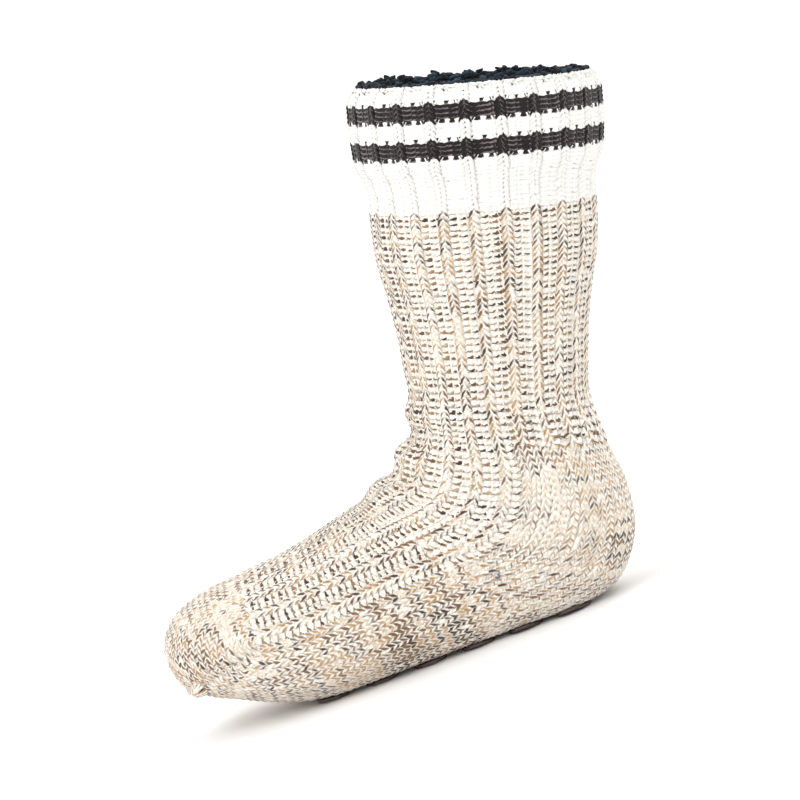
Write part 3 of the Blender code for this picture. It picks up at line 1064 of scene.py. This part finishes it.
def wall_mesh(name, outer, inner, rise, finish, rough):
    """A thin sock-shaped wall, open at the collar, with a rounded rim."""
    stations = np.linspace(KNOTS[0], KNOTS[-1], WALL_STATIONS)[:, None]
    angles = np.linspace(0.0, FULL_TURN, WALL_ANGLES, endpoint=False)[None, :]
    outside, inside = knit_skin(stations, angles, outer), knit_skin(stations, angles, inner)
    if rough:
        lift = rng.uniform(-rough, rough, inside.shape[:2])
        inside = inside + skin_normal(stations, angles) * lift[..., None]
    up = LEG_AXIS * rise
    rim = (outside[0] + inside[0]) / 2 + up + LEG_AXIS * (outer - inner) / 2
    rings = [*inside[::-1], inside[0] + up, rim, outside[0] + up, *outside]
    tips = [ring[-1].mean(axis=0, keepdims=True) for ring in (inside, outside)]
    inner_tip = len(rings) * WALL_ANGLES
    inner_end = [face[::-1] for face in end_faces(0, inner_tip, WALL_ANGLES)]
    outer_end = end_faces(inner_tip - WALL_ANGLES, inner_tip + 1, WALL_ANGLES)
    mesh = bpy.data.meshes.new(name)
    faces = tube_faces(len(rings), WALL_ANGLES) + inner_end + outer_end
    mesh.from_pydata(np.concatenate(rings + tips), [], faces)
    return linked_piece(name, mesh, finish)


def fleece_curls(finish):
    """Curls of sherpa fleece: tufts round the rim and a nap down the inside of the leg."""
    skein = Skein(CURL_SIDES, CURL_SAMPLES - 1, flatness=1.0)
    shades = linear(NAVY)
    turn = np.linspace(0.0, 1.0, CURL_SAMPLES)
    tuft_angle = (np.arange(TUFT_COUNT) + rng.random(TUFT_COUNT)) / TUFT_COUNT * FULL_TURN
    tuft_height = rng.uniform(0.0, 1.0, TUFT_COUNT) ** TUFT_POWER
    for number in range(RIM_CURLS + INSIDE_CURLS):
        on_rim = number < RIM_CURLS
        tuft = rng.integers(TUFT_COUNT)
        angle = tuft_angle[tuft] + rng.normal(0.0, TUFT_SPREAD) if on_rim else rng.uniform(0.0, FULL_TURN)
        depth = 0.0 if on_rim else CURL_DEEPEST * rng.uniform(0.0, 1.0) ** DEPTH_POWER
        inset = rng.uniform(FLEECE_INNER, FLEECE_OUTER - RIM_INSET) if on_rim else FLEECE_INNER
        normal = skin_normal(depth, angle)
        outward = LEG_AXIS if on_rim else -normal
        base = skin(depth, angle) + normal * inset
        if on_rim:
            base = base + LEG_AXIS * (FLEECE_RISE + TUFT_RISE * tuft_height[tuft] * rng.uniform(*TUFT_SHARE))
        across = unit(np.cross(outward, rng.normal(size=3)))
        size = rng.uniform(*CURL_SIZE)
        spin = turn * FULL_TURN * rng.uniform(*CURL_TURNS) + rng.uniform(0.0, FULL_TURN)
        height = turn * rng.uniform(*CURL_RISE) - CURL_SINK
        swing = np.outer(np.cos(spin), across) + np.outer(np.sin(spin), np.cross(outward, across))
        line = base + np.outer(height, outward) + size * swing
        thick = rng.uniform(*CURL_RADIUS) * np.interp(turn, *CURL_TAPER)
        shade = shades[rng.integers(len(shades))] * rng.uniform(*CURL_SHADES)
        skein.add_scrap(line, outward, thick, (shade, shade * CURL_LIGHT), CURL_COVER, CURL_PITCH)
    return skein.piece("fleece_curls", finish)


class Shading:
    """Adds nodes to a node tree, and joins them."""

    def __init__(self, tree):
        self.nodes = tree.nodes
        self.links = tree.links

    def feed(self, node, inputs):
        """Sets each given input to a value, or joins it to a socket."""
        for name, value in inputs.items():
            if isinstance(value, bpy.types.NodeSocket):
                self.links.new(value, node.inputs[name])
            else:
                node.inputs[name].default_value = value
        return node

    def dress(self, inputs):
        """Gives the surface shader its inputs."""
        self.feed(self.nodes["Principled BSDF"], inputs)

    def add(self, kind, inputs):
        return self.feed(self.nodes.new(kind), inputs)

    def maths(self, operation, *values):
        node = self.nodes.new("ShaderNodeMath")
        node.operation = operation
        return self.feed(node, dict(enumerate(values))).outputs[0]

    def vector(self, operation, inputs, output="Vector"):
        node = self.nodes.new("ShaderNodeVectorMath")
        node.operation = operation
        return self.feed(node, inputs).outputs[output]

    def mix(self, factor, first, second):
        """Blend of two colours."""
        node = self.nodes.new("ShaderNodeMix")
        node.data_type = "RGBA"
        return self.feed(node, {"Factor": factor, "A": first, "B": second}).outputs["Result"]

    def ranged(self, value, given, wanted=(0.0, 1.0), smoothing="LINEAR"):
        """A value moved from one range to another."""
        node = self.nodes.new("ShaderNodeMapRange")
        node.interpolation_type = smoothing
        names = ("Value", "From Min", "From Max", "To Min", "To Max")
        return self.feed(node, dict(zip(names, (value, *given, *wanted)))).outputs["Result"]

    def place(self):
        """Places in the piece's own frame."""
        return self.nodes.new("ShaderNodeTexCoord").outputs["Object"]

    def noise(self, place, scale, detail=2.0):
        node = self.add("ShaderNodeTexNoise", {"Vector": place, "Scale": scale, "Detail": detail})
        return node.outputs["Fac"]

    def bump(self, height, strength, distance):
        """Normals of a surface with this height."""
        inputs = {"Height": height, "Strength": strength, "Distance": distance}
        return self.add("ShaderNodeBump", inputs).outputs["Normal"]


def new_material(name):
    """A node material, and the means to add to it."""
    made = bpy.data.materials.new(name)
    made.use_nodes = True
    return made, Shading(made.node_tree)


def plied_yarn_group():
    """Two plies twisted round each other, with loose fibres along them and painted shade in the groove
    between them.
    """
    tree = bpy.data.node_groups.new("plied_yarn", "ShaderNodeTree")
    for name in ("Ply A", "Ply B"):
        tree.interface.new_socket(name, in_out="INPUT", socket_type="NodeSocketColor")
    for name in ("Cover", "Turn", "Groove Shade"):
        tree.interface.new_socket(name, in_out="INPUT", socket_type="NodeSocketFloat")
    tree.interface.new_socket("Color", in_out="OUTPUT", socket_type="NodeSocketColor")
    tree.interface.new_socket("Height", in_out="OUTPUT", socket_type="NodeSocketFloat")
    shading = Shading(tree)
    maths = shading.maths
    given = tree.nodes.new("NodeGroupInput").outputs
    strand = tree.nodes.new("ShaderNodeUVMap")
    strand.uv_map = "Strand"
    parts = shading.add("ShaderNodeSeparateXYZ", {0: strand.outputs["UV"]}).outputs
    along, around = parts["X"], parts["Y"]
    twist = maths("ADD", along, around)
    swell = maths("ABSOLUTE", maths("SINE", maths("MULTIPLY", twist, FULL_TURN)))
    wander = tree.nodes.new("ShaderNodeTexNoise")
    wander.noise_dimensions = "1D"
    shading.feed(wander, {"W": along, "Scale": WANDER_SCALE})
    sway = maths("MULTIPLY", maths("SUBTRACT", wander.outputs["Fac"], 0.5), WANDER_SWAY)
    turned = maths("MULTIPLY", maths("SUBTRACT", around, given["Turn"]), FULL_TURN)
    side = maths("COSINE", maths("ADD", turned, sway))
    shown = maths("ADD", side, maths("MULTIPLY", given["Cover"], COVER_REACH))
    mask = shading.ranged(shown, STROKE_EDGE, smoothing="SMOOTHSTEP")
    blend = shading.mix(mask, given["Ply A"], given["Ply B"])
    fibre_place = shading.add("ShaderNodeCombineXYZ", {
        "X": maths("MULTIPLY", along, FIBRES_ALONG),
        "Y": maths("MULTIPLY", twist, FIBRES_ROUND),
    })
    fibre = shading.noise(fibre_place.outputs[0], scale=1.0, detail=3.0)
    # Painted shade: the colour darkens, tinted brown, in the groove between the two plies
    dip = maths("SUBTRACT", 1.0, maths("POWER", swell, GROOVE_POWER))
    line = shading.mix(maths("MULTIPLY", dip, given["Groove Shade"]), WHITE, GROOVE_SHADE_TINT)
    groove_shaded = shading.vector("MULTIPLY", {0: blend, 1: line})
    shade = shading.ranged(fibre, FIBRE_RANGE, FIBRE_SHADES)
    colour = shading.vector("SCALE", {0: groove_shaded, "Scale": shade})
    height = maths("ADD", swell, maths("MULTIPLY", fibre, FIBRE_HEIGHT))
    shading.add("NodeGroupOutput", {"Color": colour, "Height": height})
    return tree


def yarn_material(name, group, groove_shade, roughness, sheen):
    """Matt spun yarn whose ply colours come with the piece."""
    made, shading = new_material(name)
    twist = shading.nodes.new("ShaderNodeGroup")
    twist.node_tree = group
    # How strong the painted shade in the ply groove is
    shading.feed(twist, {"Groove Shade": groove_shade})
    for ply, socket, share in (("ply_a", "Ply A", "Turn"), ("ply_b", "Ply B", "Cover")):
        colour = shading.nodes.new("ShaderNodeAttribute")
        colour.attribute_name = ply
        shading.feed(twist, {socket: colour.outputs["Color"], share: colour.outputs["Alpha"]})
    shading.dress({
        "Base Color": twist.outputs["Color"],
        "Normal": shading.bump(twist.outputs["Height"], strength=0.45, distance=0.0004),
        "Roughness": roughness,
        "Specular IOR Level": 0.2,
        "Sheen Weight": sheen,
        "Sheen Roughness": 0.6,
    })
    return made


def backing_material():
    """Felted back of the knit between the loops, pale behind the cuff."""
    made, shading = new_material("knit_backing")
    place = shading.place()
    felt = shading.noise(place, scale=900.0, detail=3.0)
    height = shading.vector("DOT_PRODUCT", {0: place, 1: tuple(LEG_AXIS)}, "Value")
    collar = LEG_AXIS @ (ALONG_SHIFT - ANKLE_ALONG, 0.0, ANKLE_UP) + LEG_SECTIONS[0][0]
    cuff_edge = collar - CUFF_END * CUFF_COURSE
    cuff = shading.ranged(height, [cuff_edge + blend for blend in CUFF_BLEND])
    tone = shading.mix(cuff, paint(BACKING_MARL), paint(BACKING_CUFF))
    worn = shading.maths("MULTIPLY_ADD", felt, FELT_SHADE, FELT_SHADE)
    shading.dress({
        "Base Color": shading.vector("SCALE", {0: tone, "Scale": worn}),
        "Normal": shading.bump(felt, strength=0.5, distance=0.0005),
        "Roughness": 0.95,
    })
    return made


def fleece_material():
    """Dark navy pile with a clumpy nap, and painted shade in the gaps between clumps."""
    made, shading = new_material("fleece_pile")
    place = shading.place()
    clump = shading.add("ShaderNodeTexVoronoi", {"Vector": place, "Scale": 330.0}).outputs["Distance"]
    nap = shading.noise(place, scale=1400.0, detail=4.0)
    # Painted shade: the colour darkens away from the middle of each clump, where the pile lies low
    depth = shading.maths("MULTIPLY", clump, CLUMP_SHADE_CONTRAST)
    height = shading.maths("SUBTRACT", shading.maths("MULTIPLY", nap, NAP_HEIGHT), clump)
    shading.dress({
        "Base Color": shading.mix(depth, paint(CLUMP_TOP), paint(CLUMP_PAINTED_SHADE)),
        "Normal": shading.bump(height, strength=0.8, distance=0.0012),
        "Roughness": 1.0,
        "Sheen Weight": 0.08,
    })
    return made


def grip_material():
    """Matt printed rubber with a fine pebble and paler rubbed patches."""
    made, shading = new_material("grip_rubber")
    place = shading.place()
    pebble = shading.noise(place, scale=1600.0)
    rub = shading.noise(place, scale=120.0, detail=5.0)
    shading.dress({
        "Base Color": shading.mix(rub, paint(RUBBER), paint(RUBBER_WORN)),
        "Normal": shading.bump(pebble, strength=0.35, distance=0.0003),
        "Roughness": shading.maths("MULTIPLY_ADD", rub, *RUB_ROUGHNESS),
    })
    return made


def studio():
    """Pale floor, soft light all round and two broad lights above."""
    bpy.ops.mesh.primitive_plane_add(size=FLOOR_SIZE, location=(0.0, 0.0, 0.0))
    floor = bpy.context.object
    floor.name = "studio_floor"
    made, shading = new_material("studio_floor")
    shading.dress({"Base Color": FLOOR_SHADE, "Roughness": 0.9})
    floor.data.materials.append(made)
    world = bpy.context.scene.world or bpy.data.worlds.new("studio")
    bpy.context.scene.world = world
    world.use_nodes = True
    sky = Shading(world.node_tree)
    sky.feed(sky.nodes["Background"], {"Color": WHITE, "Strength": SKY_STRENGTH})
    for lamp in LAMPS:
        light = bpy.data.lights.new(lamp.name, "AREA")
        light.size = lamp.size
        light.energy = lamp.power
        holder = bpy.data.objects.new(lamp.name, light)
        holder.location = lamp.place
        holder.rotation_euler = (Vector(TARGET) - Vector(lamp.place)).to_track_quat("-Z", "Y").to_euler()
        bpy.context.scene.collection.objects.link(holder)


def camera():
    """Side view from a little above, rolled as the photograph has the foot."""
    lens = bpy.data.cameras.new("view")
    lens.sensor_width = SENSOR
    lens.lens = SENSOR * VIEW_DISTANCE / VIEW_WIDTH
    holder = bpy.data.objects.new("view", lens)
    away = Vector((0.0, -math.cos(VIEW_ELEVATION), math.sin(VIEW_ELEVATION)))
    holder.location = Vector(TARGET) + away * VIEW_DISTANCE
    look = (-away).to_track_quat("-Z", "Y").to_matrix().to_4x4()
    holder.rotation_euler = (look @ Matrix.Rotation(-VIEW_ROLL, 4, "Z")).to_euler()
    bpy.context.scene.collection.objects.link(holder)
    bpy.context.scene.camera = holder


def knit_pieces(group):
    """The knitted outside of the sock, with its backing."""
    marl = yarn_material("marl_yarn", group, groove_shade=0.50, roughness=0.95, sheen=0.15)
    cuff_yarn = yarn_material("cuff_yarn", group, groove_shade=0.06, roughness=0.95, sheen=0.15)
    leg = leg_lattice()
    tree = toe_tree()
    cup = toe_half(tree, 0.0, -QUARTER_TURN)
    under = toe_half(tree, math.pi, QUARTER_TURN)
    knit = [
        knit_cuff(cuff_yarn, leg),
        knit_leg(marl, leg),
        knit_ankle(marl, leg),
        knit_foot(marl, foot_lattice()),
        knit_toe(marl, (cup, under)),
        toe_seam(marl, cup),
        lint_fleck(cuff_yarn),
        wall_mesh("knit_backing", BACKING_OUTER, BACKING_INNER, BACKING_RISE, backing_material(), 0.0),
    ]
    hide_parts("knit_upper")


def fleece_pieces(group):
    """The fleece wall and its curls."""
    curl_yarn = yarn_material("fleece_curl", group, groove_shade=0.3, roughness=1.0, sheen=0.08)
    fleece = fleece_material()
    lining = wall_mesh("fleece_wall", FLEECE_OUTER, FLEECE_INNER, FLEECE_RISE, fleece, FLEECE_ROUGH)
    curls = fleece_curls(curl_yarn)
    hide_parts("fleece_lining")


def grip_pads():
    """Gives every printed pad its rubber."""
    rubber = grip_material()
    for number in range(1, PAD_COUNT + 1):
        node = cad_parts[f"grip_pad_{number}"]
        node.data.materials.clear()
        node.data.materials.append(rubber)


def build():
    bpy.ops.object.select_all(action="DESELECT")
    bpy.context.scene.view_settings.view_transform = "Standard"
    studio()
    camera()
    group = plied_yarn_group()
    knit_pieces(group)
    fleece_pieces(group)
    grip_pads()


build()
